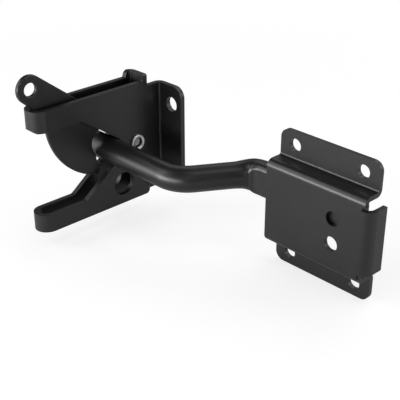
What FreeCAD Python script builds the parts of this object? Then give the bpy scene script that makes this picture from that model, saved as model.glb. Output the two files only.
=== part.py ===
import FreeCAD, Part
import math
import os

import Sketcher

Vector = FreeCAD.Vector

# Barn door latch: a folded catch with a gravity lever for the post, and a bent
# striker bar in a hat-shaped bracket for the gate. Millimetres.
# X runs along the wall from the catch to the bracket, Y into the wall, Z up.
# The origin is midway between the catch's screw holes, on the wall.
# Each sub-part is drawn from the lever's rivet at the catch's near face, and its
# placement then moves it to the origin.

# Driving dimensions, one row each: name, value, what it sizes.
SIZES = (
    ("sheet", 2.4, "thickness of the catch's steel"),
    ("bracket_sheet", 2.0, "thickness of the bracket's steel"),
    ("bend_inside", 0.8, "inside radius of the sharp bends"),
    ("wall_plane", 16.5, "from the pivot back to the wall"),
    ("cut_margin", 5.0, "how far a cutting outline runs past the metal"),
    ("channel_width", 11.5, "outside width over both plates of the catch"),
    ("plate_half", 28.2, "half height of the plates"),
    ("nose_reach", 53.9, "pivot to the front of the folded noses"),
    ("mouth_top", 18.6, "pivot up to the upper arm at the noses"),
    ("nose_foot_round", 2.2, "rounding of the upper nose's lower front corner"),
    ("mouth_foot", 20.0, "pivot down to the lower arm at the noses"),
    ("mouth_reach", 30.5, "pivot to where the mouth starts to narrow"),
    ("mouth_corner", 1.5, "rounding where the mouth starts to narrow"),
    ("stop_back", 6.8, "pivot to the back face of the closing wall"),
    ("stop_bend", 3.6, "outside radius of the bend into that wall"),
    ("stop_rise", 3.0, "lever stop above the plates"),
    ("stop_lead", 4.8, "length of the raised part of the far plate at the stop"),
    ("stop_right_round", 0.8, "rounding of the stop's free corner"),
    ("stop_foot_round", 0.3, "inside rounding where the plates meet the stop"),
    ("plate_corner", 2.0, "rounding of the plates' lower rear corner"),
    ("flange_reach", 14.4, "near plate to the edge of the screw flange"),
    ("flange_half", 25.7, "half height of the screw flange"),
    ("flange_corner", 5.0, "corner radius of the screw flange"),
    ("flange_hole", 7.0, "screw holes of the catch"),
    ("flange_hole_reach", 8.1, "near plate to the screw holes"),
    ("flange_hole_rise", 16.9, "pivot to the screw holes, up and down"),
    ("lock_hole", 11.2, "hole for a padlock"),
    ("lock_hole_front", 8.6, "pivot to the padlock hole, forward"),
    ("lock_hole_drop", 18.3, "pivot to the padlock hole, down"),
    ("rivet_shank", 4.6, "diameter of the tubular rivet"),
    ("rivet_bore", 3.6, "bore of the tubular rivet"),
    ("rivet_head", 7.8, "diameter of the rivet's heads"),
    ("rivet_rise", 1.1, "height of the rivet's heads"),
    ("rivet_rim_foot", 0.3, "depth of the rolled rim at the bore"),
    ("rivet_dome_share", 0.75, "height of the dome at three quarters of its radius"),
    ("rivet_fit", 0.05, "radial play on the rivet"),
    ("spacer_outside", 6.4, "diameter of the spacer tubes"),
    ("side_play", 0.1, "lever to each spacer tube"),
    ("lever_sheet", 2.0, "thickness of the lever"),
    ("hub_radius", 4.0, "lever round its rivet"),
    ("eye_front", 51.5, "pivot to the cable eye, forward"),
    ("eye_rise", 8.9, "top of the plates up to the cable eye"),
    ("eye_radius", 6.3, "lobe round the cable eye"),
    ("eye_hole", 5.8, "cable eye"),
    ("rest_play", 0.3, "lever at rest to the inside of the upper nose"),
    ("disc_front", 12.2, "pivot to the centre of the cam edge, forward"),
    ("disc_rise", 20.8, "pivot to the centre of the cam edge, up"),
    ("disc_radius", 33.4, "radius of the cam edge"),
    ("slot_front", 15.3, "pivot to the centre of the hook's throat, forward"),
    ("slot_rise", 3.4, "pivot to the centre of the hook's throat, up"),
    ("slot_radius", 6.8, "radius of the hook's throat"),
    ("hook_play", 0.3, "hook to the bar as the lever lifts"),
    ("hook_round", 2.2, "rounding of the hook's point"),
    ("bar_diameter", 11.5, "striker bar"),
    ("bar_seat", 14.2, "pivot to the bar in the mouth"),
    ("bar_gap", 0.4, "bar to the root of the mouth"),
    ("bar_past", 6.0, "free end of the bar past the far plate"),
    ("bar_end_round", 1.5, "rounding of the bar's free end"),
    ("bar_first_bend", 42.4, "catch to the first bend of the bar"),
    ("bar_slope", 60.0, "angle of the bar's middle run"),
    ("bar_first_radius", 14.0, "centre line radius of the first bend"),
    ("bar_second_radius", 9.0, "centre line radius of the second bend"),
    ("bar_wall_gap", 0.2, "flattened end to the wall"),
    ("flat_height", 15.0, "height of the flattened end"),
    ("flat_corner", 2.8, "corner radius of the flattened end"),
    ("least_side", 0.3, "half width of the sides where the bar starts to flatten"),
    ("flat_end_gap", 6.0, "flattened end to the bracket's side flap"),
    ("bracket_left", 74.2, "catch to the bracket's open end"),
    ("bracket_length", 49.25, "length of the bracket's flanges"),
    ("bracket_drop", 4.8, "pivot down to the bracket's centre"),
    ("bracket_half", 30.5, "half height over the bracket's flanges"),
    ("hat_top", 18.6, "bracket centre to the top of the raised part"),
    ("hat_foot", 19.2, "bracket centre to the foot of the raised part"),
    ("hat_bend", 3.2, "outside radius of the bends at the raised face"),
    ("hat_front", 6.4, "pivot back to the bracket's front face"),
    ("bracket_corner", 4.0, "corner radius of the bracket's flanges"),
    ("bracket_hole", 5.7, "screw holes of the bracket"),
    ("bracket_hole_span", 33.9, "spacing of those holes along the wall"),
    ("bracket_hole_rise", 24.7, "bracket centre to those holes, up and down"),
    ("front_hole", 6.4, "holes in the raised face"),
    ("front_hole_inset", 14.55, "bracket's right end to the front holes"),
    ("front_hole_pitch", 11.2, "upper to lower front hole"),
    ("flap_past", 3.15, "side flap past the right end of the flanges"),
    ("flap_bend", 4.6, "outside radius of the bend into the flap"),
    ("flap_top_drop", 5.5, "top of the raised part to the flap's top"),
    ("flap_foot_rise", 4.4, "foot of the raised part to the flap's foot"),
    ("relief_width", 1.6, "slot between the flap and the raised part"),
)

# Number of steps in which the bar flattens through its second bend.
BEND_SECTIONS = 5

document = FreeCAD.newDocument("barn_door_latch")
sheet = document.addObject("Spreadsheet::Sheet", "Sizes")
for row, (alias, value, note) in enumerate(SIZES, start=1):
    sheet.set("A%d" % row, alias)
    sheet.set("B%d" % row, str(value))
    sheet.set("C%d" % row, note)
    sheet.setAlias("B%d" % row, alias)
document.recompute()


def size(alias):
    """Value of one driving dimension."""
    return float(sheet.get(alias))


# Outlines are drawn as lists of pieces, each a line or an arc between two points.

def line(start, end):
    return Part.LineSegment(Vector(*start, 0), Vector(*end, 0))


def arc(start, centre, end, side):
    """Arc round centre from start to end; side is 1 for the left turn and -1 for the right turn."""
    radius = math.dist(start, centre)
    first = math.atan2(start[1] - centre[1], start[0] - centre[0])
    last = math.atan2(end[1] - centre[1], end[0] - centre[0])
    if side > 0:
        while last <= first:
            last += 2 * math.pi
    else:
        while last >= first:
            last -= 2 * math.pi
    half = (first + last) / 2
    middle = (centre[0] + radius * math.cos(half), centre[1] + radius * math.sin(half))
    return Part.Arc(Vector(*start, 0), Vector(*middle, 0), Vector(*end, 0))


def polygon(points):
    return [line(a, b) for a, b in zip(points, points[1:] + points[:1])]


def rounded(points, radii):
    """Closed polygon whose corners are rounded by the given radii."""
    count = len(points)
    entries = []
    for index, (corner, radius) in enumerate(zip(points, radii)):
        before = points[index - 1]
        after = points[(index + 1) % count]
        into = unit(before, corner)
        out = unit(corner, after)
        turn = into[0] * out[1] - into[1] * out[0]
        if radius == 0:
            entries.append((corner, corner, None, 1))
            continue
        angle = math.atan2(turn, into[0] * out[0] + into[1] * out[1])
        back = radius * math.tan(abs(angle) / 2)
        side = 1 if turn > 0 else -1
        start = (corner[0] - into[0] * back, corner[1] - into[1] * back)
        end = (corner[0] + out[0] * back, corner[1] + out[1] * back)
        centre = (start[0] - into[1] * radius * side, start[1] + into[0] * radius * side)
        entries.append((start, end, centre, side))
    pieces = []
    for index, (start, end, centre, side) in enumerate(entries):
        if centre:
            pieces.append(arc(start, centre, end, side))
        following = entries[(index + 1) % count][0]
        if math.dist(end, following) > 1e-6:
            pieces.append(line(end, following))
    return pieces


def unit(start, end):
    length = math.dist(start, end)
    return ((end[0] - start[0]) / length, (end[1] - start[1]) / length)


def on_circle(centre, radius, degrees):
    angle = math.radians(degrees)
    return (centre[0] + radius * math.cos(angle), centre[1] + radius * math.sin(angle))


def circle_meets_circle(first, first_radius, second, second_radius, side):
    """Point where two circles cross, left (1) or right (-1) of the line between their centres."""
    apart = math.dist(first, second)
    along = (apart ** 2 + first_radius ** 2 - second_radius ** 2) / (2 * apart)
    across = math.sqrt(max(first_radius ** 2 - along ** 2, 0)) * side
    way = unit(first, second)
    return (first[0] + way[0] * along - way[1] * across, first[1] + way[1] * along + way[0] * across)


def line_meets_circle(point, way, centre, radius, side):
    """Point where a line crosses a circle; side is -1 for the first crossing and 1 for the last."""
    offset = (point[0] - centre[0], point[1] - centre[1])
    middle = -(offset[0] * way[0] + offset[1] * way[1])
    reach = math.sqrt(max(middle ** 2 - offset[0] ** 2 - offset[1] ** 2 + radius ** 2, 0)) * side
    return (point[0] + way[0] * (middle + reach), point[1] + way[1] * (middle + reach))


def new_body(label):
    body = document.addObject("PartDesign::Body", label)
    body.Label = label
    body.setExpression("Placement.Base.x", "-Sizes.flange_hole_reach")
    body.setExpression("Placement.Base.y", "-Sizes.wall_plane")
    return body


def new_sketch(body, name, role, pieces, offset="0"):
    """Sketch of the pieces on one of the body's origin planes, moved along its normal by offset."""
    sketch = body.newObject("Sketcher::SketchObject", name)
    plane = next(item for item in body.Origin.OriginFeatures if item.Role == role)
    sketch.AttachmentSupport = [(plane, "")]
    sketch.MapMode = "FlatFace"
    sketch.setExpression("AttachmentOffset.Base.z", offset)
    sketch.addGeometry(pieces, False)
    return sketch


def circle_sketch(body, name, role, places, diameter, offset="0"):
    """Sketch of equal circles; places holds pairs of expressions and diameter is an expression."""
    sketch = new_sketch(body, name, role, [], offset)
    for index, (across, up) in enumerate(places):
        circle = Part.Circle(Vector(index * 100.0 + 10.0, 10.0, 0), Vector(0, 0, 1), 1.0)
        sketch.addGeometry(circle, False)
        bind(sketch, Sketcher.Constraint("Diameter", index, 1.0), diameter)
        bind(sketch, Sketcher.Constraint("DistanceX", -1, 1, index, 3, 10.0), across)
        bind(sketch, Sketcher.Constraint("DistanceY", -1, 1, index, 3, 10.0), up)
    return sketch


def bind(sketch, constraint, expression):
    number = sketch.addConstraint(constraint)
    sketch.setExpression("Constraints[%d]" % number, expression)


def pad(body, name, sketch, length):
    feature = body.newObject("PartDesign::Pad", name)
    feature.Profile = sketch
    feature.setExpression("Length", length)
    return feature


def pocket(body, name, sketch, length, reverse=False):
    """Cut along the sketch's normal backwards, or forwards where reverse is set."""
    document.recompute()
    before = body.Shape.Volume
    feature = body.newObject("PartDesign::Pocket", name)
    feature.Profile = sketch
    feature.setExpression("Length", length)
    feature.Reversed = reverse
    document.recompute()
    if body.Shape.Volume > before - 0.1:
        raise RuntimeError("%s cuts nothing" % name)
    return feature


def fillet(body, name, radius, chosen):
    """Round the edges of the body's tip that chosen accepts."""
    document.recompute()
    tip = body.Tip
    names = ["Edge%d" % (number + 1) for number, edge in enumerate(tip.Shape.Edges) if chosen(edge)]
    if not names:
        raise RuntimeError("%s finds no edge" % name)
    feature = body.newObject("PartDesign::Fillet", name)
    feature.Base = (tip, names)
    feature.setExpression("Radius", radius)
    document.recompute()
    return feature


def runs_along(edge, axis):
    """True for a straight edge along the axis."""
    if edge.Curve.TypeId != "Part::GeomLine":
        return False
    return abs(abs(edge.Curve.Direction.dot(axis)) - 1) < 1e-6


def catch_plan():
    """Folded strip of the catch seen from above: flange, near plate, noses, far plate, closing wall."""
    thick = size("sheet")
    inside = size("bend_inside")
    width = size("channel_width")
    wall = size("wall_plane")
    reach = size("flange_reach")
    back = size("stop_back")
    bend = size("stop_bend")
    nose = (-width / 2, -size("nose_reach") + width / 2)
    outer = [
        line((reach, wall), (reach, wall - thick)),
        line((reach, wall - thick), (inside, wall - thick)),
        arc((inside, wall - thick), (inside, wall - thick - inside), (0, wall - thick - inside), 1),
        line((0, wall - thick - inside), (0, nose[1])),
        arc((0, nose[1]), nose, (-width, nose[1]), -1),
        line((-width, nose[1]), (-width, back - bend)),
        arc((-width, back - bend), (bend - width, back - bend), (bend - width, back), -1),
        line((bend - width, back), (-thick, back)),
        line((-thick, back), (-thick, wall - thick - inside)),
        arc((-thick, wall - thick - inside), (inside, wall - thick - inside), (inside, wall), -1),
        line((inside, wall), (reach, wall)),
    ]
    front = back - thick
    inner = [
        line((-thick, front), (-thick, nose[1])),
        arc((-thick, nose[1]), nose, (thick - width, nose[1]), -1),
        line((thick - width, nose[1]), (thick - width, back - bend)),
        arc((thick - width, back - bend), (bend - width, back - bend), (bend - width, front), -1),
        line((bend - width, front), (-thick, front)),
    ]
    return outer + inner


def mouth_outline():
    """Mouth of the catch from the side: open to the front, narrowing to a root round the bar."""
    root = (-size("bar_seat"), 0)
    radius = size("bar_diameter") / 2 + size("bar_gap")
    front = -size("nose_reach") - size("cut_margin")
    reach = -size("mouth_reach")
    round_corner = size("mouth_corner")
    edges = []
    for side, height in ((1, size("mouth_top")), (-1, -size("mouth_foot"))):
        corner = (reach, height)
        away = math.degrees(math.atan2(height, corner[0] - root[0]))
        spread = math.degrees(math.acos(radius / math.dist(corner, root)))
        touch = on_circle(root, radius, away - spread * side)
        out = unit(corner, touch)
        back = round_corner * math.tan(math.acos(out[0]) / 2)
        start = (reach - back, height)
        end = (reach + out[0] * back, height + out[1] * back)
        centre = (start[0], height - round_corner * side)
        edges.append((start, end, centre, touch, height))
    (start, end, centre, touch, top), (low_start, low_end, low_centre, low_touch, foot) = edges
    nose = -size("nose_reach")
    nose_round = size("nose_foot_round")
    return [
        line((front, top + nose_round), (nose, top + nose_round)),
        arc((nose, top + nose_round), (nose + nose_round, top + nose_round), (nose + nose_round, top), 1),
        line((nose + nose_round, top), start),
        arc(start, centre, end, -1),
        line(end, touch),
        arc(touch, root, low_touch, -1),
        line(low_touch, low_end),
        arc(low_end, low_centre, low_start, -1),
        line(low_start, (front, foot)),
        line((front, foot), (front, top + nose_round)),
    ]


def make_catch():
    """Catch: one folded sheet with two plates, two noses, a closing wall with the stop and a flange."""
    body = new_body("catch_body")
    margin = size("cut_margin")
    half = size("plate_half")
    top = half + size("stop_rise")
    above = top + margin
    front = -size("nose_reach") - margin
    back = size("stop_back")
    stop_face = back - size("sheet")
    behind = size("wall_plane") + margin
    rise = size("stop_rise")
    stop_start = back - size("stop_lead")

    plan = new_sketch(body, "catch_plan", "XY_Plane", catch_plan(), "-Sizes.plate_half")
    pad(body, "folded_strip", plan, "2 * Sizes.plate_half + Sizes.stop_rise")

    foot_round = size("stop_foot_round")
    top_line = rounded(
        [(front, above), (front, half), (stop_start, half), (stop_start, top), (back, top), (back, above)],
        [0, 0, foot_round, rise - foot_round, 0, 0],
    )
    sketch = new_sketch(body, "top_line", "YZ_Plane", top_line, "Sizes.cut_margin")
    pocket(body, "plate_tops", sketch, "Sizes.channel_width + 2 * Sizes.cut_margin")

    near_top = rounded(
        [(front, half), (stop_face, half), (stop_face, above), (front, above)],
        [0, foot_round, 0, 0],
    )
    sketch = new_sketch(body, "near_top", "YZ_Plane", near_top, "Sizes.cut_margin")
    pocket(body, "near_plate_top", sketch, "Sizes.cut_margin + Sizes.sheet")

    high = size("flange_half")
    rear_top = polygon([(back, high), (behind, high), (behind, above), (back, above)])
    round_foot = size("plate_corner")
    rear_foot = [
        line((back, -high), (behind, -high)),
        line((behind, -high), (behind, -half - margin)),
        line((behind, -half - margin), (back - round_foot, -half - margin)),
        line((back - round_foot, -half - margin), (back - round_foot, -half)),
        arc((back - round_foot, -half), (back - round_foot, round_foot - half), (back, round_foot - half), 1),
        line((back, round_foot - half), (back, -high)),
    ]
    reach = "Sizes.flange_reach + Sizes.cut_margin"
    across = "Sizes.flange_reach + Sizes.channel_width + 2 * Sizes.cut_margin"
    for name, pieces in (("rear_top", rear_top), ("rear_foot", rear_foot)):
        sketch = new_sketch(body, name + "_line", "YZ_Plane", pieces, reach)
        pocket(body, name, sketch, across)

    sketch = new_sketch(body, "mouth_line", "YZ_Plane", mouth_outline(), "Sizes.cut_margin")
    pocket(body, "mouth", sketch, "Sizes.channel_width + 2 * Sizes.cut_margin")

    side_holes = (
        ("lock_hole", [("-Sizes.lock_hole_front", "-Sizes.lock_hole_drop")], "Sizes.lock_hole"),
        ("pivot_hole", [("0", "0")], "Sizes.rivet_shank + 2 * Sizes.rivet_fit"),
    )
    for name, places, diameter in side_holes:
        sketch = circle_sketch(body, name + "_circle", "YZ_Plane", places, diameter, "Sizes.cut_margin")
        pocket(body, name, sketch, "Sizes.channel_width + 2 * Sizes.cut_margin")

    places = [
        ("Sizes.flange_hole_reach", "Sizes.flange_hole_rise"),
        ("Sizes.flange_hole_reach", "-Sizes.flange_hole_rise"),
    ]
    behind_wall = "-Sizes.wall_plane - Sizes.cut_margin"
    sketch = circle_sketch(body, "flange_circles", "XZ_Plane", places, "Sizes.flange_hole", behind_wall)
    pocket(body, "flange_holes", sketch, "Sizes.sheet + 2 * Sizes.cut_margin", reverse=True)

    reach_at = size("flange_reach")

    def flange_corner(edge):
        return runs_along(edge, Vector(0, 1, 0)) and abs(edge.CenterOfMass.x - reach_at) < 1e-3

    fillet(body, "flange_corners", "Sizes.flange_corner", flange_corner)

    def stop_corner(edge):
        centre = edge.CenterOfMass
        upright = runs_along(edge, Vector(0, 1, 0))
        return upright and abs(centre.x) < 1e-3 and abs(centre.z - top) < 1e-3

    fillet(body, "stop_corner", "Sizes.stop_right_round", stop_corner)
    return body


def lever_outline():
    """Lever from the side: hub, straight top edge, lobe, cam edge, hook and throat."""
    hub = (0.0, 0.0)
    hub_radius = size("hub_radius")
    eye = (-size("eye_front"), size("plate_half") + size("eye_rise"))
    eye_radius = size("eye_radius")
    disc = (-size("disc_front"), size("disc_rise"))
    disc_radius = size("disc_radius")
    throat = (-size("slot_front"), size("slot_rise"))
    throat_radius = size("slot_radius")
    hook_radius = size("bar_seat") + size("bar_diameter") / 2 + size("hook_play")
    tip = size("hook_round")

    toward_eye = math.degrees(math.atan2(eye[1], eye[0]))
    spread = math.degrees(math.acos((hub_radius - eye_radius) / math.dist(hub, eye)))
    hub_top = on_circle(hub, hub_radius, toward_eye - spread)
    eye_top = on_circle(eye, eye_radius, toward_eye - spread)

    rest = nose_rest()
    toward_rest = math.atan2(rest[1] - eye[1], rest[0] - eye[0])
    slope = toward_rest + math.asin(eye_radius / math.dist(eye, rest))
    eye_foot = on_circle(eye, eye_radius, math.degrees(slope) - 90)
    way = (math.cos(slope), math.sin(slope))
    cam_start = line_meets_circle(eye_foot, way, disc, disc_radius, -1)

    tip_centre = circle_meets_circle(disc, disc_radius - tip, hub, hook_radius + tip, -1)
    cam_way = unit(disc, tip_centre)
    cam_end = (disc[0] + cam_way[0] * disc_radius, disc[1] + cam_way[1] * disc_radius)
    hook_way = unit(hub, tip_centre)
    hook_start = (hook_way[0] * hook_radius, hook_way[1] * hook_radius)
    hook_end = circle_meets_circle(hub, hook_radius, throat, throat_radius, 1)

    toward_hub = math.degrees(math.atan2(hub[1] - throat[1], hub[0] - throat[0]))
    lean = math.degrees(math.asin((throat_radius + hub_radius) / math.dist(hub, throat)))
    throat_end = on_circle(throat, throat_radius, toward_hub - lean + 90)
    hub_foot = on_circle(hub, hub_radius, toward_hub - lean - 90)
    return [
        line(hub_top, eye_top),
        arc(eye_top, eye, eye_foot, 1),
        line(eye_foot, cam_start),
        arc(cam_start, disc, cam_end, 1),
        arc(cam_end, tip_centre, hook_start, 1),
        arc(hook_start, hub, hook_end, -1),
        arc(hook_end, throat, throat_end, -1),
        line(throat_end, hub_foot),
        arc(hub_foot, hub, hub_top, 1),
    ]


def nose_rest():
    """Point of the lever's front edge that comes to rest inside the upper nose's top edge."""
    inside = size("channel_width") / 2 - size("sheet")
    centre = -size("nose_reach") + size("channel_width") / 2
    nose_inside = centre - math.sqrt(inside ** 2 - (size("lever_sheet") / 2) ** 2)
    return (nose_inside + size("rest_play"), size("plate_half"))


def make_lever():
    """Flat lever between the plates, with the cable eye, the cam edge and the hook over the bar."""
    body = new_body("latch_lever")
    far_face = "-(Sizes.channel_width + Sizes.lever_sheet) / 2"
    sketch = new_sketch(body, "lever_line", "YZ_Plane", lever_outline(), far_face)
    pad(body, "lever_plate", sketch, "Sizes.lever_sheet")
    holes = (
        ("cable_eye", [("-Sizes.eye_front", "Sizes.plate_half + Sizes.eye_rise")], "Sizes.eye_hole"),
        ("lever_bore", [("0", "0")], "Sizes.rivet_shank + 2 * Sizes.rivet_fit"),
    )
    for name, places, diameter in holes:
        sketch = circle_sketch(body, name + "_circle", "YZ_Plane", places, diameter, "Sizes.cut_margin")
        pocket(body, name, sketch, "Sizes.channel_width + 2 * Sizes.cut_margin")
    return body


def revolve(body, name, sketch):
    feature = body.newObject("PartDesign::Revolution", name)
    feature.Profile = sketch
    feature.ReferenceAxis = (sketch, ["H_Axis"])
    feature.Angle = 360.0
    return feature


def make_rivet():
    """Tubular rivet: a rolled rim on the near side, a low domed head on the far side."""
    body = new_body("pivot_rivet")
    width = size("channel_width")
    rise = size("rivet_rise")
    shank = size("rivet_shank") / 2
    bore = size("rivet_bore") / 2
    head = size("rivet_head") / 2
    rim_foot = size("rivet_rim_foot")
    bore_end = size("sheet") - width
    far = -width
    rim = Part.Arc(Vector(0, head, 0), Vector(rise, (head + bore) / 2, 0), Vector(rim_foot, bore, 0))
    dome_rise = rise * size("rivet_dome_share")
    dome = Part.Arc(Vector(far - rise, 0, 0), Vector(far - dome_rise, head * 0.75, 0), Vector(far, head, 0))
    pieces = [
        rim,
        line((rim_foot, bore), (bore_end, bore)),
        line((bore_end, bore), (bore_end, 0)),
        line((bore_end, 0), (far - rise, 0)),
        dome,
        line((far, head), (far, shank)),
        line((far, shank), (0, shank)),
        line((0, shank), (0, head)),
    ]
    sketch = new_sketch(body, "rivet_section", "XY_Plane", pieces)
    revolve(body, "rivet_turned", sketch)
    return body


def make_spacer(label, start):
    """Tube that keeps the lever in the middle of the channel; start is its near end."""
    body = new_body(label)
    bore = "Sizes.rivet_shank + 2 * Sizes.rivet_fit"
    sketch = circle_sketch(body, label + "_ring", "YZ_Plane", [("0", "0")], "Sizes.spacer_outside", start)
    length = "Sizes.channel_width / 2 - Sizes.sheet - Sizes.lever_sheet / 2 - Sizes.side_play"
    tube = pad(body, label + "_tube", sketch, length)
    tube.Reversed = True
    hole = circle_sketch(body, label + "_bore", "YZ_Plane", [("0", "0")], bore, "Sizes.cut_margin")
    pocket(body, label + "_bored", hole, "Sizes.channel_width + 2 * Sizes.cut_margin")
    return body


def bar_points():
    """Centre line of the bar from above: free end, both bends' corners and the flattened end's start."""
    seat = -size("bar_seat")
    axis = (flat_front() + flat_back()) / 2
    slope = math.radians(size("bar_slope"))
    free = (-size("channel_width") - size("bar_past"), seat)
    first = (size("bar_first_bend"), seat)
    second = (first[0] + (axis - seat) / math.tan(slope), axis)
    end = (second[0] + size("bar_second_radius") * math.tan(slope / 2), axis)
    return free, first, second, end


def flat_front():
    """Front of the flattened end, on the inside of the bracket's raised face."""
    return size("hat_front") + size("bracket_sheet")


def flat_back():
    return size("wall_plane") - size("bar_wall_gap")


def bar_path():
    """Centre line of the round bar: the run through the catch, the first bend and the sloping run."""
    free, first, second, end = bar_points()
    slope = math.radians(size("bar_slope"))
    out = (math.cos(slope), math.sin(slope))
    radius = size("bar_first_radius")
    back = radius * math.tan(slope / 2)
    start = (first[0] - back, first[1])
    finish = (first[0] + out[0] * back, first[1] + out[1] * back)
    last = size("bar_second_radius") * math.tan(slope / 2)
    stop = (second[0] - out[0] * last, second[1] - out[1] * last)
    centre = (start[0], start[1] + radius)
    return [line(free, start), arc(start, centre, finish, 1), line(finish, stop)]


def flat_section(axis):
    """Rounded rectangle of the flattened end, centred on the axis."""
    half = (flat_back() - flat_front()) / 2
    high = size("flat_height") / 2
    corners = [(axis - half, -high), (axis + half, -high), (axis + half, high), (axis - half, high)]
    return rounded(corners, [size("flat_corner")] * 4)


def bend_section(share):
    """Section of the bar in the second bend: round where share is 0, flattened where it is 1."""
    radius = size("bar_diameter") / 2
    ease = share * share * (3 - 2 * share)
    half = radius + ((flat_back() - flat_front()) / 2 - radius) * ease
    high = radius + (size("flat_height") / 2 - radius) * ease
    corner = min(radius + (size("flat_corner") - radius) * share, half - size("least_side"))
    corners = [(-half, -high), (half, -high), (half, high), (-half, high)]
    pieces = rounded(corners, [corner] * 4)
    if share > 0:
        return pieces
    ways = [unit((0, 0), (piece.StartPoint.x, piece.StartPoint.y)) for piece in pieces]
    points = [(way[0] * radius, way[1] * radius) for way in ways]
    return [arc(a, (0, 0), b, 1) for a, b in zip(points, points[1:] + points[:1])]


def make_bar():
    """Round bar with two bends, flattened through the second one and where it lies in the bracket."""
    body = new_body("striker_bar")
    free, first, second, end = bar_points()
    profile = circle_sketch(body, "bar_circle", "YZ_Plane", [("-Sizes.bar_seat", "0")],
                            "Sizes.bar_diameter", "-Sizes.channel_width - Sizes.bar_past")
    path = new_sketch(body, "bar_path", "XY_Plane", bar_path())
    pipe = body.newObject("PartDesign::AdditivePipe", "bar_round")
    pipe.Profile = profile
    pipe.Spine = (path, [])
    document.recompute()

    radius = size("bar_second_radius")
    slope = size("bar_slope")
    sections = []
    for number in range(BEND_SECTIONS + 1):
        share = number / BEND_SECTIONS
        turn = math.radians(slope * (1 - share))
        middle = Vector(end[0] - radius * math.sin(turn), end[1] - radius + radius * math.cos(turn), 0)
        sketch = body.newObject("Sketcher::SketchObject", "bend_section_%d" % number)
        across = Vector(-math.sin(turn), math.cos(turn), 0)
        along = Vector(math.cos(turn), math.sin(turn), 0)
        sketch.Placement = FreeCAD.Placement(middle, FreeCAD.Rotation(across, Vector(0, 0, 1), along, "ZXY"))
        sketch.addGeometry(bend_section(share), False)
        sections.append(sketch)
    loft = body.newObject("PartDesign::AdditiveLoft", "bar_flattening")
    loft.Profile = sections[0]
    loft.Sections = sections[1:]
    document.recompute()

    right = size("bracket_left") + size("bracket_length") + size("flap_past")
    stop = right - size("bracket_sheet") - size("flat_end_gap")
    end_section = new_sketch(body, "flat_line", "YZ_Plane", flat_section(end[1]), str(end[0]))
    feature = body.newObject("PartDesign::Pad", "bar_flat")
    feature.Profile = end_section
    feature.Length = stop - end[0]
    left = free[0]

    def free_end(edge):
        return abs(edge.BoundBox.XMax - left) < 1e-3

    fillet(body, "bar_end", "Sizes.bar_end_round", free_end)
    return body


def hat_section():
    """Bracket from the open end: flange, bend, raised face, bend, flange; an even sheet."""
    thick = size("bracket_sheet")
    inside = size("bend_inside")
    bend = size("hat_bend")
    wall = size("wall_plane")
    middle = -size("bracket_drop")
    face = size("hat_front")
    half = size("bracket_half")
    top = middle + size("hat_top")
    foot = middle - size("hat_foot")
    front = [
        (wall - thick, middle + half), (wall - thick, top), (face, top),
        (face, foot), (wall - thick, foot), (wall - thick, middle - half),
    ]
    back = [
        (wall, middle - half), (wall, foot + thick), (face + thick, foot + thick),
        (face + thick, top - thick), (wall, top - thick), (wall, middle + half),
    ]
    front_radii = [0, inside, bend, bend, inside, 0]
    back_radii = [0, inside + thick, bend - thick, bend - thick, inside + thick, 0]
    return rounded(front + back, front_radii + back_radii)


def flap_plan(hat_right, flap_right):
    """Side flap from above: along the raised face, round the bend and back to the wall."""
    thick = size("bracket_sheet")
    face = size("hat_front")
    wall = size("wall_plane")
    bend = size("flap_bend")
    start = flap_right - bend - size("flap_bend")
    points = [
        (start, face), (flap_right, face), (flap_right, wall),
        (flap_right - thick, wall), (flap_right - thick, face + thick), (start, face + thick),
    ]
    return rounded(points, [0, bend, 0, 0, bend - thick, 0])


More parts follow.
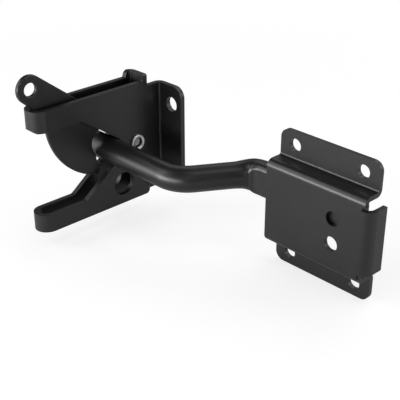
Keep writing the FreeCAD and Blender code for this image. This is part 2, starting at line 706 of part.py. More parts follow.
def make_bracket():
    """Bracket: one folded sheet, a hat section with a side flap, for the gate."""
    body = new_body("strike_bracket")
    left = size("bracket_left")
    right = left + size("bracket_length")
    flap_right = right + size("flap_past")
    middle = -size("bracket_drop")
    thick = size("bracket_sheet")
    face = size("hat_front")
    top = middle + size("hat_top") - size("flap_top_drop")
    foot = middle - size("hat_foot") + size("flap_foot_rise")
    relief = size("relief_width")
    margin = size("cut_margin")

    section = new_sketch(body, "hat_section", "YZ_Plane", hat_section(), "Sizes.bracket_left")
    pad(body, "hat", section, "Sizes.bracket_length")

    bend_start = flap_right - size("flap_bend")
    corners = [
        (bend_start, foot - relief), (right + margin, foot - relief),
        (right + margin, top + relief), (bend_start, top + relief),
    ]
    notch = rounded(corners, [relief / 2, 0, 0, relief / 2])
    sketch = new_sketch(body, "notch_line", "XZ_Plane", notch, "-Sizes.hat_front + Sizes.cut_margin")
    pocket(body, "notch", sketch, "Sizes.cut_margin + Sizes.hat_bend")

    plan = new_sketch(body, "flap_plan", "XY_Plane", flap_plan(right, flap_right), str(foot))
    feature = body.newObject("PartDesign::Pad", "flap")
    feature.Profile = plan
    feature.Length = top - foot

    behind = "-Sizes.wall_plane - Sizes.cut_margin"
    depth = "Sizes.wall_plane - Sizes.hat_front + 2 * Sizes.cut_margin"
    centre = "Sizes.bracket_left + Sizes.bracket_length / 2"
    places = []
    for across in ("-", "+"):
        for up in ("-", "+"):
            places.append((
                "%s %s Sizes.bracket_hole_span / 2" % (centre, across),
                "-Sizes.bracket_drop %s Sizes.bracket_hole_rise" % up,
            ))
    sketch = circle_sketch(body, "bracket_circles", "XZ_Plane", places, "Sizes.bracket_hole", behind)
    pocket(body, "bracket_holes", sketch, depth, reverse=True)

    across = "Sizes.bracket_left + Sizes.bracket_length - Sizes.front_hole_inset"
    places = [(across, "0"), (across, "-Sizes.front_hole_pitch")]
    sketch = circle_sketch(body, "front_circles", "XZ_Plane", places, "Sizes.front_hole", behind)
    pocket(body, "front_holes", sketch, depth, reverse=True)

    upper = middle + size("bracket_half")
    lower = middle - size("bracket_half")

    def flange_corner(edge):
        height = edge.CenterOfMass.z
        outer = min(abs(height - upper), abs(height - lower)) < 1e-3
        return runs_along(edge, Vector(0, 1, 0)) and outer

    fillet(body, "bracket_corners", "Sizes.bracket_corner", flange_corner)
    return body


def check_document():
    """Every object has recomputed and every sub-part is one sound solid."""
    document.recompute()
    for item in document.Objects:
        if "Invalid" in item.State or "Error" in item.State:
            raise RuntimeError("%s failed: %s" % (item.Name, item.State))
    for item in document.Objects:
        if item.TypeId == "PartDesign::Body":
            if item.Shape.isNull() or not item.Shape.isValid() or len(item.Shape.Solids) != 1:
                raise RuntimeError("%s is not one sound solid" % item.Label)


def main():
    bodies = [
        make_catch(),
        make_lever(),
        make_rivet(),
        make_spacer("spacer_near", "-Sizes.sheet"),
        make_spacer("spacer_far", "-(Sizes.channel_width + Sizes.lever_sheet) / 2 - Sizes.side_play"),
        make_bar(),
        make_bracket(),
    ]
    check_document()
    os.makedirs("parts", exist_ok=True)
    for body in bodies:
        body.Shape.exportStep("parts/%s.step" % body.Label)
        box = body.Shape.BoundBox
        print("%-16s volume %8.0f  x %6.1f to %6.1f  y %6.1f to %6.1f  z %6.1f to %6.1f" % (
            body.Label, body.Shape.Volume, box.XMin, box.XMax, box.YMin, box.YMax, box.ZMin, box.ZMax))


main()
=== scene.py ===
"""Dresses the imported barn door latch: rounded black steel, a zinc rivet and a plain studio."""
import math

import bmesh
import bpy
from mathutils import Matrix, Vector


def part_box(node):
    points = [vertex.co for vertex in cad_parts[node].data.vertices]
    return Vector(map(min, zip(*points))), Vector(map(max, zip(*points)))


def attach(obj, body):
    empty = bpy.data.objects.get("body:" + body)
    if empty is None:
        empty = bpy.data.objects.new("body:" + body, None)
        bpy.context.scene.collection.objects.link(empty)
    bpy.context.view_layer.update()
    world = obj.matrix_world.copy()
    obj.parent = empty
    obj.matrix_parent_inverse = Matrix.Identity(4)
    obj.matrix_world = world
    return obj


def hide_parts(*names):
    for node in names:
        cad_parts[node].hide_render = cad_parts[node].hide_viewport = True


bl_info = {
    "name": "Barn Door Latch",
    "version": (1, 0, 0),
    "blender": (4, 5, 0),
    "location": "View3D > Sidebar > Latch",
    "description": "Finishes a barn door latch in black powder coat and zinc, in a white studio",
    "category": "Object",
}

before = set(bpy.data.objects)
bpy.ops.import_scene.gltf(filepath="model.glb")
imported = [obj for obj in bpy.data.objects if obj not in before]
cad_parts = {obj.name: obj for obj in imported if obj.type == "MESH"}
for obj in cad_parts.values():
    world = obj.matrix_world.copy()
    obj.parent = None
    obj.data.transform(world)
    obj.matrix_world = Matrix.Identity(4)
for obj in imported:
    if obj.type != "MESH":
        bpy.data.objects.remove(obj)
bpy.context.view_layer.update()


# Sizes and colours

class LatchSettings(bpy.types.PropertyGroup):
    sheet_rounding: bpy.props.FloatProperty(
        name="Sheet rounding",
        description="Rounding of the coated edges of the folded sheet",
        default=0.00055,
        min=0.0,
        unit="LENGTH",
    )
    lever_rounding: bpy.props.FloatProperty(
        name="Lever rounding",
        description="Rounding of the coated edges of the lever",
        default=0.0005,
        min=0.0,
        unit="LENGTH",
    )
    tube_rounding: bpy.props.FloatProperty(
        name="Tube rounding",
        description="Rounding of the edges of the spacer tubes",
        default=0.0001,
        min=0.0,
        unit="LENGTH",
    )
    bar_rounding: bpy.props.FloatProperty(
        name="Bar rounding",
        description="Rounding of the free end of the bar",
        default=0.0015,
        min=0.0,
        unit="LENGTH",
    )
    coat_colour: bpy.props.FloatVectorProperty(
        name="Coat colour",
        description="Black of the powder coat",
        subtype="COLOR",
        size=3,
        default=(0.0065, 0.0065, 0.0068),
        min=0.0,
        max=1.0,
    )
    coat_roughness: bpy.props.FloatProperty(
        name="Coat roughness",
        description="Roughness of the powder coat, from 0, mirror, to 1, chalk",
        default=0.35,
        min=0.0,
        max=1.0,
        subtype="FACTOR",
    )
    zinc_colour: bpy.props.FloatVectorProperty(
        name="Zinc colour",
        description="Colour of the plated rivet and spacer tubes",
        subtype="COLOR",
        size=3,
        default=(0.72, 0.72, 0.71),
        min=0.0,
        max=1.0,
    )
    floor_colour: bpy.props.FloatVectorProperty(
        name="Floor colour",
        description="Colour of the studio floor",
        subtype="COLOR",
        size=3,
        default=(0.85, 0.85, 0.85),
        min=0.0,
        max=1.0,
    )
    studio_light: bpy.props.FloatProperty(
        name="Studio light",
        description="Brightness of the light from all round",
        default=0.05,
        min=0.0,
    )


# Rivet, in metres: the catch's near face, the rivet's axis in Y and Z, and the radii of the
# floor and the wall of the cup in its near head.
RIVET_FACE = -0.0081
RIVET_AXIS = (-0.0165, 0.0)
CUP_FLOOR_RADIUS = 0.00186
CUP_WALL_RADIUS = 0.00214


# Shader expressions

# Sockets of a Mix node set to colours, by number because their names repeat.
MIX_FACTOR = 0
MIX_FIRST = 6
MIX_SECOND = 7
MIX_COLOUR = 2


class Value:
    """An output in a node tree, for use in Python expressions."""

    def __init__(self, tree, socket):
        self.tree = tree
        self.socket = socket

    def math(self, operation, other):
        return self.tree.node("ShaderNodeMath", {"operation": operation}, [self, other])

    def __add__(self, other):
        return self.math("ADD", other)

    __radd__ = __add__

    def __mul__(self, other):
        return self.math("MULTIPLY", other)

    __rmul__ = __mul__

    def clamped(self):
        return self.tree.node("ShaderNodeClamp", {}, [self])


class Tree:
    """The node tree of a material or world, started afresh."""

    def __init__(self, owner):
        owner.use_nodes = True
        self.nodes = owner.node_tree.nodes
        self.links = owner.node_tree.links
        self.nodes.clear()

    def node(self, kind, settings, inputs, output=0):
        """One node: settings first, then its sockets by name or in order. Returns an output."""
        node = self.nodes.new(kind)
        for name, value in settings.items():
            setattr(node, name, value)
        entries = inputs.items() if isinstance(inputs, dict) else enumerate(inputs)
        for key, value in entries:
            if isinstance(value, Value):
                self.links.new(value.socket, node.inputs[key])
            else:
                node.inputs[key].default_value = value
        return Value(self, node.outputs[output]) if len(node.outputs) else None

    def place(self):
        """Position on the piece, in metres."""
        return self.node("ShaderNodeTexCoord", {}, {}, "Object")

    def noise(self, place, scale, detail):
        sockets = {"Vector": place, "Scale": scale, "Detail": detail}
        return self.node("ShaderNodeTexNoise", {}, sockets, "Fac")

    def between(self, value, low, high, start=0.0, end=1.0):
        """Number that goes from low to high as the value goes from start to end."""
        sockets = {
            "Value": value,
            "From Min": start,
            "From Max": end,
            "To Min": low,
            "To Max": high,
        }
        return self.node("ShaderNodeMapRange", {}, sockets)

    def vector(self, operation, *vectors, output="Vector"):
        return self.node("ShaderNodeVectorMath", {"operation": operation}, vectors, output)

    def distance(self, place):
        """Distance of a place from the origin."""
        return self.vector("LENGTH", place, output="Value")

    def radius(self, place, centre):
        """Distance of a place from the axis along X through the centre."""
        apart = self.vector("SUBTRACT", place, centre)
        return self.distance(self.vector("MULTIPLY", apart, (0.0, 1.0, 1.0)))

    def mixed(self, factor, first, second):
        """Colour between two colours."""
        sockets = {MIX_FACTOR: factor, MIX_FIRST: first, MIX_SECOND: second}
        return self.node("ShaderNodeMix", {"data_type": "RGBA"}, sockets, MIX_COLOUR)

    def shaded(self, factor, colour, shades):
        """Colour between a darker and a lighter shade of one colour."""
        dark, light = shades
        return self.mixed(factor, shade(colour, dark), shade(colour, light))

    def bump(self, height, distance, strength, normal=None):
        sockets = {"Height": height, "Distance": distance, "Strength": strength}
        if normal is not None:
            sockets["Normal"] = normal
        return self.node("ShaderNodeBump", {}, sockets)


def shade(colour, share=1.0):
    """A colour with its alpha, darker or lighter by a share."""
    return (*[channel * share for channel in colour], 1.0)


def finish_material(name, maker):
    """The named material, made once. The maker gives its shader."""
    found = bpy.data.materials.get(name)
    if found:
        return found
    material = bpy.data.materials.new(name)
    tree = Tree(material)
    shader = maker(tree, bpy.context.scene.latch_settings)
    tree.node("ShaderNodeOutputMaterial", {}, {"Surface": shader})
    return material


# Each noise has its scale per metre and its detail, and each bump its height in metres and its
# strength. Shades are shares of the colour in the settings, from dark to light.
BROAD_NOISE = (70.0, 3.0)
PEEL_NOISE = (900.0, 2.0)
GRAIN_NOISE = (4200.0, 1.0)
PEEL_BUMP = (0.00004, 0.2)
GRAIN_BUMP = (0.00001, 0.15)
COAT_SHADES = (0.8, 1.25)
# How much of the uneven gloss is broad, the rest being grain, and how far the roughness goes
# below and above the one in the settings.
BROAD_SHARE = 0.6
GLOSSIER = 0.05
DULLER = 0.07
COAT_IOR = 1.5


def powder_coat(tree, settings):
    """Black powder coat: a soft orange peel, a fine grain and a slightly uneven gloss."""
    place = tree.place()
    broad = tree.noise(place, *BROAD_NOISE)
    peel = tree.noise(place, *PEEL_NOISE)
    grain = tree.noise(place, *GRAIN_NOISE)
    gloss = settings.coat_roughness
    uneven = broad * BROAD_SHARE + grain * (1 - BROAD_SHARE)
    return tree.node("ShaderNodeBsdfPrincipled", {}, {
        "Base Color": tree.shaded(broad, settings.coat_colour, COAT_SHADES),
        "Roughness": tree.between(uneven, gloss - GLOSSIER, gloss + DULLER),
        "Normal": tree.bump(grain, *GRAIN_BUMP, tree.bump(peel, *PEEL_BUMP)),
        "IOR": COAT_IOR,
    })


CLOUD_NOISE = (600.0, 4.0)
MARK_NOISE = (3000.0, 2.0)
MARK_BUMP = (0.00002, 0.3)
ZINC_ROUGHNESS = (0.24, 0.42)
PLATED_SHADES = (0.86, 1.1)
# Painted shade in the rivet's cup: shares of the zinc colour for its floor, and a near-black share
# for the ring at its wall.
CUP_FLOOR_PAINTED_SHADES = (0.42, 0.55)
CUP_WALL_PAINTED_SHADE = 0.06
# Widths over which the painted shade of the cup's floor goes over to the darker painted shade
# of its wall, and that to the plain zinc of the rim, and the depths behind the near face between
# which the painted shade of the cup ends.
CUP_FLOOR_FADE = 0.00006
CUP_RIM_FADE = 0.00045
CUP_DEPTHS = (0.003, 0.002)


def zinc_plate(tree, settings):
    """Bright zinc: satin metal with faint clouding and handling marks, and painted shade in the
    rivet's cup.
    """
    place = tree.place()
    cloud = tree.noise(place, *CLOUD_NOISE)
    marks = tree.noise(place, *MARK_NOISE)
    plated = tree.shaded(cloud, settings.zinc_colour, PLATED_SHADES)
    # The rivet's cup gets painted shade, a darker floor and a near-black ring at its wall. It
    # fades out to plain zinc at the rim and behind the near head.
    cup_floor_painted_shade = tree.shaded(cloud, settings.zinc_colour, CUP_FLOOR_PAINTED_SHADES)
    cup_wall_painted_shade = shade(settings.zinc_colour, CUP_WALL_PAINTED_SHADE)
    radius = tree.radius(place, (0.0, *RIVET_AXIS))
    wall = tree.between(radius, 0.0, 1.0, CUP_FLOOR_RADIUS - CUP_FLOOR_FADE, CUP_FLOOR_RADIUS)
    rim = tree.between(radius, 0.0, 1.0, CUP_WALL_RADIUS, CUP_WALL_RADIUS + CUP_RIM_FADE)
    outwards = tree.node("ShaderNodeSeparateXYZ", {}, [place], "X")
    behind = tree.between(outwards, 1.0, 0.0, *[RIVET_FACE - depth for depth in CUP_DEPTHS])
    cup = tree.mixed(wall, cup_floor_painted_shade, cup_wall_painted_shade)
    return tree.node("ShaderNodeBsdfPrincipled", {}, {
        "Base Color": tree.mixed((rim + behind).clamped(), cup, plated),
        "Metallic": 1.0,
        "Roughness": tree.between(cloud, *ZINC_ROUGHNESS),
        "Normal": tree.bump(marks, *MARK_BUMP),
    })


# Pieces

# Distance in metres under which the vertices of a copy are merged, and the angles in degrees up
# to which its faces are joined, past which its edges are rounded, and up to which they are
# shaded smooth.
MERGE_DISTANCE = 0.000002
JOIN_ANGLE = 0.6
ROUND_ANGLE = 38
SMOOTH_ANGLE = 32
SHEET_SEGMENTS = 3
TUBE_SEGMENTS = 2
# A piece with fewer faces than this has gone wrong.
FEWEST_FACES = 20


def deselect():
    if bpy.context.object and bpy.context.object.mode != "OBJECT":
        bpy.ops.object.mode_set(mode="OBJECT")
    bpy.ops.object.select_all(action="DESELECT")


def smoothed(piece, material):
    """Smooth shading that keeps flats flat, and the material."""
    bpy.ops.object.shade_smooth_by_angle(angle=math.radians(SMOOTH_ANGLE))
    weighted = piece.modifiers.new("normals", "WEIGHTED_NORMAL")
    weighted.keep_sharp = True
    bpy.ops.object.modifier_apply(modifier=weighted.name)
    piece.data.materials.clear()
    piece.data.materials.append(material)
    if len(piece.data.polygons) < FEWEST_FACES:
        raise RuntimeError("%s lost its faces" % piece.name)


def dressed(node, name, material, rounding, segments=SHEET_SEGMENTS):
    """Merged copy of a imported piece, with rounded edges, smooth shading and the material."""
    deselect()
    piece = bpy.data.objects.new(name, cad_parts[node].data.copy())
    bpy.context.collection.objects.link(piece)
    bpy.context.view_layer.objects.active = piece
    piece.select_set(True)
    bpy.ops.object.mode_set(mode="EDIT")
    bpy.ops.mesh.select_mode(type="VERT")
    bpy.ops.mesh.select_all(action="SELECT")
    bpy.ops.mesh.customdata_custom_splitnormals_clear()
    bpy.ops.mesh.remove_doubles(threshold=MERGE_DISTANCE)
    bpy.ops.mesh.dissolve_limited(angle_limit=math.radians(JOIN_ANGLE))
    bpy.ops.object.mode_set(mode="OBJECT")
    bevel = piece.modifiers.new("edges", "BEVEL")
    bevel.limit_method = "ANGLE"
    bevel.angle_limit = math.radians(ROUND_ANGLE)
    bevel.width = rounding
    bevel.segments = segments
    bevel.use_clamp_overlap = True
    bpy.ops.object.modifier_apply(modifier=bevel.name)
    smoothed(piece, material)
    return piece


# Line of the striker bar, in metres: its free end, the corners of its two bends and its end
# inside the bracket.
BAR_POINTS = (
    (-0.0256, -0.0307, 0.0),
    (0.0343, -0.0307, 0.0),
    (0.0527, -0.00415, 0.0009),
    (0.1104, -0.00415, 0.0009),
)
BAR_FIRST_RADIUS = 0.014
BAR_SECOND_RADIUS = 0.0095
# How far back in Y the bar may come, just short of the wall.
BAR_BACK = -0.0002
# Sections of the bar: half its thickness, half its height and the radius of its corners.
ROUND_SECTION = (0.00575, 0.00575, 0.00575)
FLAT_SECTION = (0.00395, 0.0075, 0.0028)
# Flattening at the second bend, in metres along the bar. Its underside goes down from
# FLAT_EARLY before the bend to FLAT_LEAD past it, and its top goes up from TOP_EARLY before the
# bend to TOP_LENGTH into it. It gets thinner after the share THIN_FROM of the way round the
# bend and its lead.
FLAT_EARLY = 0.0045
FLAT_LEAD = 0.0026
TOP_EARLY = 0.0025
TOP_LENGTH = 0.0085
THIN_FROM = 0.1
# Outlines round the free end, before, round and past a bend, and points in each quarter of one.
END_STEPS = 6
EARLY_STEPS = 4
BEND_STEPS = 18
LEAD_STEPS = 5
CORNER_POINTS = 14
# Quarters of an outline: side, rise, and the angle at which each starts, in degrees.
QUARTERS = ((1, 1, 0), (-1, 1, 90), (-1, -1, 180), (1, -1, 270))


def eased(share):
    """Share from 0 to 1 that starts and stops gently."""
    share = min(max(share, 0.0), 1.0)
    return share * share * (3 - 2 * share)


def bar_bend(corner, before, after, radius, early=0.0, lead=0.0):
    """Stations round one bend of the bar, with a short run before and past it.

    Each is a place, a heading and the way gone since the bend started.
    """
    angle = before.angle(after)
    reach = radius * math.tan(angle / 2)
    inward = (after - before * math.cos(angle)).normalized()
    start = corner - before * reach
    stations = []
    for step in range(EARLY_STEPS if early else 0):
        on = early * (step / EARLY_STEPS - 1)
        stations.append((start + before * on, before, on))
    for step in range(BEND_STEPS + 1):
        turn = angle * step / BEND_STEPS
        place = start + (before * math.sin(turn) + inward * (1 - math.cos(turn))) * radius
        heading = before * math.cos(turn) + inward * math.sin(turn)
        stations.append((place, heading, turn * radius))
    for step in range(1, LEAD_STEPS + 1 if lead else 0):
        on = lead * step / LEAD_STEPS
        stations.append((corner + after * (reach + on), after, angle * radius + on))
    return stations


def bar_outline(place, heading, half, high, corner):
    """Rounded outline of the bar at a place, square to its heading and clear of the wall."""
    across = Vector((-heading.y, heading.x, 0.0)).normalized()
    up = heading.cross(across)
    outline = []
    for side, rise, first in QUARTERS:
        for point in range(CORNER_POINTS):
            angle = math.radians(first + 90 * (point + 0.5) / CORNER_POINTS)
            sideways = side * (half - corner) + corner * math.cos(angle)
            upwards = rise * (high - corner) + corner * math.sin(angle)
            outline.append(place + across * sideways + up * upwards)
    over = max(point.y for point in outline) - BAR_BACK
    if over > 0:
        outline = [point - Vector((0.0, over, 0.0)) for point in outline]
    return outline


def bar_outlines(rounding):
    """All outlines of the bar from its free end to its flattened end."""
    free, first, second, last = [Vector(point) for point in BAR_POINTS]
    along = (first - free).normalized()
    slope = (second - first).normalized()
    radius = ROUND_SECTION[0]
    outlines = []
    for step in range(END_STEPS + 1):
        turn = math.radians(90 * step / END_STEPS)
        size = radius - rounding * (1 - math.sin(turn))
        place = free + along * rounding * (1 - math.cos(turn))
        outlines.append(bar_outline(place, along, size, size, size))
    for place, heading, _ in bar_bend(first, along, slope, BAR_FIRST_RADIUS):
        outlines.append(bar_outline(place, heading, *ROUND_SECTION))
    stations = bar_bend(second, slope, along, BAR_SECOND_RADIUS, FLAT_EARLY, FLAT_LEAD)
    length = stations[-1][2]
    for place, heading, gone in stations:
        thinned = eased((gone / length - THIN_FROM) / (1 - THIN_FROM))
        raised = eased((gone + TOP_EARLY) / (TOP_LENGTH + TOP_EARLY))
        lowered = eased((gone + FLAT_EARLY) / (length + FLAT_EARLY))
        shares = (thinned, (raised + lowered) / 2, thinned)
        section = [a + (b - a) * share for a, b, share in zip(ROUND_SECTION, FLAT_SECTION, shares)]
        lift = (FLAT_SECTION[1] - ROUND_SECTION[1]) * (raised - lowered) / 2
        outlines.append(bar_outline(place + Vector((0.0, 0.0, lift)), heading, *section))
    outlines.append(bar_outline(last, along, *FLAT_SECTION))
    return outlines


# Turned shape of the rivet: way out from the catch's near face and radius, in metres.
RIVET_PROFILE = (
    (-0.00060, 0.0008),
    (-0.00066, 0.0016),
    (-0.00054, 0.00188),
    (-0.00010, 0.00205),
    (0.00050, 0.00228),
    (0.00086, 0.00252),
    (0.00104, 0.00286),
    (0.00110, 0.00325),
    (0.00102, 0.00360),
    (0.00078, 0.00382),
    (0.00040, 0.00390),
    (0.00004, 0.00390),
    (0.0, 0.00382),
    (0.0, 0.0023),
    (-0.0115, 0.0023),
    (-0.0115, 0.00382),
    (-0.01154, 0.00390),
    (-0.01180, 0.00384),
    (-0.01205, 0.00350),
    (-0.01232, 0.00260),
    (-0.01250, 0.0012),
)
RIVET_POINTS = 40


def rivet_outlines():
    """Circles of the rivet, from the floor of its cup over its rim and through to its far head."""
    middle, height = RIVET_AXIS
    outlines = []
    for out, radius in RIVET_PROFILE:
        outline = []
        for point in range(RIVET_POINTS):
            angle = math.tau * point / RIVET_POINTS
            across = middle + radius * math.cos(angle)
            up = height + radius * math.sin(angle)
            outline.append(Vector((RIVET_FACE + out, across, up)))
        outlines.append(outline)
    return outlines


# Radius in metres of the circle that a drawn piece starts from.
START_RADIUS = 0.005


def put_in_order(mesh):
    """Vertices by their place, then edges and faces by their vertices.

    Extruding leaves them in an order that changes from run to run.
    """
    for index, vertex in enumerate(sorted(mesh.verts, key=lambda vertex: tuple(vertex.co))):
        vertex.index = index
    mesh.verts.sort()
    for elements in (mesh.edges, mesh.faces):
        ranked = sorted(elements, key=lambda one: sorted(vertex.index for vertex in one.verts))
        for index, element in enumerate(ranked):
            element.index = index
        elements.sort()


def drawn(name, outlines):
    """Solid extruded outline by outline, closed at both ends."""
    deselect()
    ring = range(len(outlines[0]))
    bpy.ops.mesh.primitive_circle_add(vertices=len(ring), radius=START_RADIUS, fill_type="NGON")
    piece = bpy.context.object
    piece.name = name
    bpy.ops.object.mode_set(mode="EDIT")
    bpy.ops.mesh.select_mode(type="EDGE")
    mesh = bmesh.from_edit_mesh(piece.data)
    mesh.verts.ensure_lookup_table()
    for index, point in zip(ring, outlines[0]):
        mesh.verts[index].co = point
    for outline in outlines[1:]:
        bpy.ops.mesh.extrude_edges_move()
        mesh = bmesh.from_edit_mesh(piece.data)
        mesh.verts.index_update()
        mesh.verts.ensure_lookup_table()
        fresh = []
        for index, point in zip(ring, outline):
            near = [edge.other_vert(mesh.verts[index]) for edge in mesh.verts[index].link_edges]
            follower = next(vertex for vertex in near if vertex.select)
            follower.co = point
            fresh.append(follower.index)
        ring = fresh
    bpy.ops.mesh.edge_face_add()
    bpy.ops.mesh.select_all(action="SELECT")
    bpy.ops.mesh.normals_make_consistent(inside=False)
    put_in_order(bmesh.from_edit_mesh(piece.data))
    bmesh.update_edit_mesh(piece.data)
    bpy.ops.object.mode_set(mode="OBJECT")
    return piece


class LATCH_OT_catch(bpy.types.Operator):
    """Round over and coat the folded catch"""

    bl_idname = "latch.catch"
    bl_label = "Catch"

    def execute(self, context):
        settings = context.scene.latch_settings
        coat = finish_material("black_powder_coat", powder_coat)
        piece = dressed("catch_body", "catch_shell", coat, settings.sheet_rounding)
        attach(piece, "catch")
        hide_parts("catch_body")
        return {"FINISHED"}


class LATCH_OT_lever(bpy.types.Operator):
    """Round over and coat the lever"""

    bl_idname = "latch.lever"
    bl_label = "Lever"

    def execute(self, context):
        settings = context.scene.latch_settings
        coat = finish_material("black_powder_coat", powder_coat)
        piece = dressed("latch_lever", "lever_plate", coat, settings.lever_rounding)
        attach(piece, "lever")
        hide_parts("latch_lever")
        return {"FINISHED"}


class LATCH_OT_rivet(bpy.types.Operator):
    """Turn the rivet, and plate it and its spacer tubes"""

    bl_idname = "latch.rivet"
    bl_label = "Rivet and spacers"

    def execute(self, context):
        rounding = context.scene.latch_settings.tube_rounding
        zinc = finish_material("bright_zinc", zinc_plate)
        rivet = drawn("rivet", rivet_outlines())
        smoothed(rivet, zinc)
        near = dressed("spacer_near", "near_tube", zinc, rounding, TUBE_SEGMENTS)
        far = dressed("spacer_far", "far_tube", zinc, rounding, TUBE_SEGMENTS)
        parts = (
            (rivet, "pivot_rivet", "zinc_rivet"),
            (near, "spacer_near", "zinc_spacer"),
            (far, "spacer_far", "zinc_spacer"),
        )
        for piece, node, slot in parts:
            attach(piece, "catch")
            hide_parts(node)
        return {"FINISHED"}


class LATCH_OT_bar(bpy.types.Operator):
    """Draw the striker bar outline by outline, and coat it"""

    bl_idname = "latch.bar"
    bl_label = "Striker bar"

    def execute(self, context):
        settings = context.scene.latch_settings
        coat = finish_material("black_powder_coat", powder_coat)
        piece = drawn("bar", bar_outlines(settings.bar_rounding))
        smoothed(piece, coat)
        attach(piece, "striker")
        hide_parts("striker_bar")
        return {"FINISHED"}


class LATCH_OT_bracket(bpy.types.Operator):
    """Round over and coat the striker's bracket"""

    bl_idname = "latch.bracket"
    bl_label = "Bracket"

    def execute(self, context):
        settings = context.scene.latch_settings
        coat = finish_material("black_powder_coat", powder_coat)
        piece = dressed("strike_bracket", "bracket_shell", coat, settings.sheet_rounding)
        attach(piece, "striker")
        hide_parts("strike_bracket")
        return {"FINISHED"}


# Studio

# Angles in degrees, the lens and the width of the film in millimetres, the rest in metres.
CAMERA_AZIMUTH = 46.26
CAMERA_ELEVATION = 27.28
CAMERA_PLACE = (0.2846, -0.25668, 0.16464)
CAMERA_LENS = 80.406
CAMERA_FILM = 36.0
CAMERA_NEAREST = 0.01
STUDIO_MIDDLE = (0.045, -0.03, 0.0)
FLOOR_SIZE = 6.0
FLOOR_GAP = 0.0002
# What the camera sees of the floor: the share of its colour, the glow added to that, and the
# distances from its middle, in metres, between which it goes over to white.
FLOOR_SHARE = 0.45
FLOOR_GLOW = 0.72
FLOOR_WHITENS = (0.14, 0.4)
WHITE = (1.0, 1.0, 1.0, 1.0)
SOFTBOX_AWAY = 0.7
# Each softbox: name, azimuth and elevation in degrees, width and height in metres, and power
# in watts. All stand SOFTBOX_AWAY from the middle.
SOFTBOXES = (
    ("front_strip", 338, 4, 0.45, 0.16, 4.2),
    ("nose_strip", 10, 4, 0.30, 0.16, 1.6),
    ("left_box", 315, 28, 0.36, 0.60, 2.0),
    ("right_strip", 95, 5, 0.40, 0.16, 1.2),
    ("right_top_box", 90, 72, 0.36, 0.36, 0.55),
    ("right_front_box", 45, 38, 0.36, 0.36, 0.3),
    ("rear_right_box", 135, 22, 0.36, 0.40, 1.2),
    ("rear_box", 180, 46, 0.40, 0.50, 1.05),
    ("rear_left_box", 225, 40, 0.36, 0.36, 0.4),
)


def studio_floor(tree, settings):
    """Pale floor that the camera sees as white, apart from the object's soft shadow."""
    diffuse = tree.node("ShaderNodeBsdfDiffuse", {}, {"Color": shade(settings.floor_colour)})
    seen_colour = shade(settings.floor_colour, FLOOR_SHARE)
    seen = tree.node("ShaderNodeBsdfDiffuse", {}, {"Color": seen_colour})
    glow = tree.node("ShaderNodeEmission", {}, {"Color": WHITE, "Strength": FLOOR_GLOW})
    shown = tree.node("ShaderNodeAddShader", {}, [seen, glow])
    white = tree.node("ShaderNodeEmission", {}, {"Color": WHITE, "Strength": 1.0})
    far = tree.between(tree.distance(tree.place()), 0.0, 1.0, *FLOOR_WHITENS)
    blended = tree.node("ShaderNodeMixShader", {}, [far, shown, white])
    camera = tree.node("ShaderNodeLightPath", {}, {}, "Is Camera Ray")
    return tree.node("ShaderNodeMixShader", {}, [camera, diffuse, blended])


def set_floor():
    """Floor just under the lowest point of the latch."""
    lowest = min(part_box(name)[0].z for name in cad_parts)
    middle = (STUDIO_MIDDLE[0], STUDIO_MIDDLE[1], lowest - FLOOR_GAP)
    bpy.ops.mesh.primitive_plane_add(size=FLOOR_SIZE, location=middle)
    floor = bpy.context.object
    floor.name = "studio_floor"
    floor.data.materials.append(finish_material("studio_floor", studio_floor))


def set_world(light):
    """Even light from all round, which the camera sees as white."""
    world = bpy.data.worlds.new("studio_world")
    bpy.context.scene.world = world
    tree = Tree(world)
    camera = tree.node("ShaderNodeLightPath", {}, {}, "Is Camera Ray")
    sockets = {"Color": WHITE, "Strength": tree.between(camera, light, 1.0)}
    background = tree.node("ShaderNodeBackground", {}, sockets)
    tree.node("ShaderNodeOutputWorld", {}, {"Surface": background})


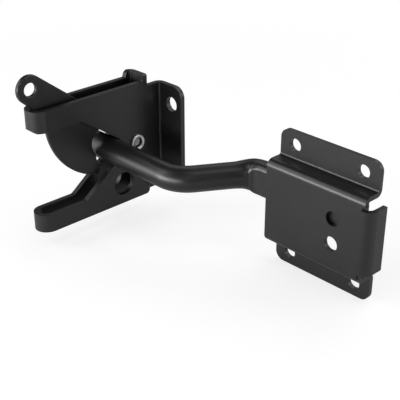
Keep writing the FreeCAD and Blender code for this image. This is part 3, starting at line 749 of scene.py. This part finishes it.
def set_softbox(name, azimuth, elevation, width, height, power):
    """Soft light round the middle of the latch, turned to it.

    Azimuth 0 is in front of the latch and 90 to its right.
    """
    turn, rise = math.radians(azimuth), math.radians(elevation)
    flat = math.cos(rise)
    away = Vector((math.sin(turn) * flat, -math.cos(turn) * flat, math.sin(rise)))
    place = Vector(STUDIO_MIDDLE) + away * SOFTBOX_AWAY
    bpy.ops.object.light_add(type="AREA", location=place)
    light = bpy.context.object
    light.name = name
    light.data.shape = "RECTANGLE"
    light.data.size = width
    light.data.size_y = height
    light.data.energy = power
    light.rotation_euler = (-away).to_track_quat("-Z", "Y").to_euler()


def set_camera():
    bpy.ops.object.camera_add(location=CAMERA_PLACE)
    view = bpy.context.object
    view.name = "camera"
    tilt, turn = math.radians(90 - CAMERA_ELEVATION), math.radians(CAMERA_AZIMUTH)
    view.rotation_euler = (tilt, 0.0, turn)
    view.data.lens = CAMERA_LENS
    view.data.sensor_width = CAMERA_FILM
    view.data.clip_start = CAMERA_NEAREST
    bpy.context.scene.camera = view


class LATCH_OT_stage(bpy.types.Operator):
    """Set up the floor, the lights and the camera"""

    bl_idname = "latch.stage"
    bl_label = "Studio"

    def execute(self, context):
        deselect()
        set_floor()
        set_world(context.scene.latch_settings.studio_light)
        for box in SOFTBOXES:
            set_softbox(*box)
        set_camera()
        context.scene.view_settings.view_transform = "Standard"
        return {"FINISHED"}


class LATCH_PT_panel(bpy.types.Panel):
    """Pieces of the latch and their settings"""

    bl_idname = "LATCH_PT_panel"
    bl_label = "Barn door latch"
    bl_space_type = "VIEW_3D"
    bl_region_type = "UI"
    bl_category = "Latch"

    def draw(self, context):
        settings = context.scene.latch_settings
        for name in settings.bl_rna.properties.keys():
            if name not in {"rna_type", "name"}:
                self.layout.prop(settings, name)
        for operator in OPERATORS:
            self.layout.operator(operator.bl_idname)


OPERATORS = (
    LATCH_OT_catch,
    LATCH_OT_lever,
    LATCH_OT_rivet,
    LATCH_OT_bar,
    LATCH_OT_bracket,
    LATCH_OT_stage,
)
CLASSES = (LatchSettings, *OPERATORS, LATCH_PT_panel)


def register():
    for kind in CLASSES:
        bpy.utils.register_class(kind)
    bpy.types.Scene.latch_settings = bpy.props.PointerProperty(type=LatchSettings)


def unregister():
    del bpy.types.Scene.latch_settings
    for kind in reversed(CLASSES):
        bpy.utils.unregister_class(kind)


def main():
    register()
    bpy.ops.latch.catch()
    bpy.ops.latch.lever()
    bpy.ops.latch.rivet()
    bpy.ops.latch.bar()
    bpy.ops.latch.bracket()
    bpy.ops.latch.stage()


if __name__ == "__main__":
    main()
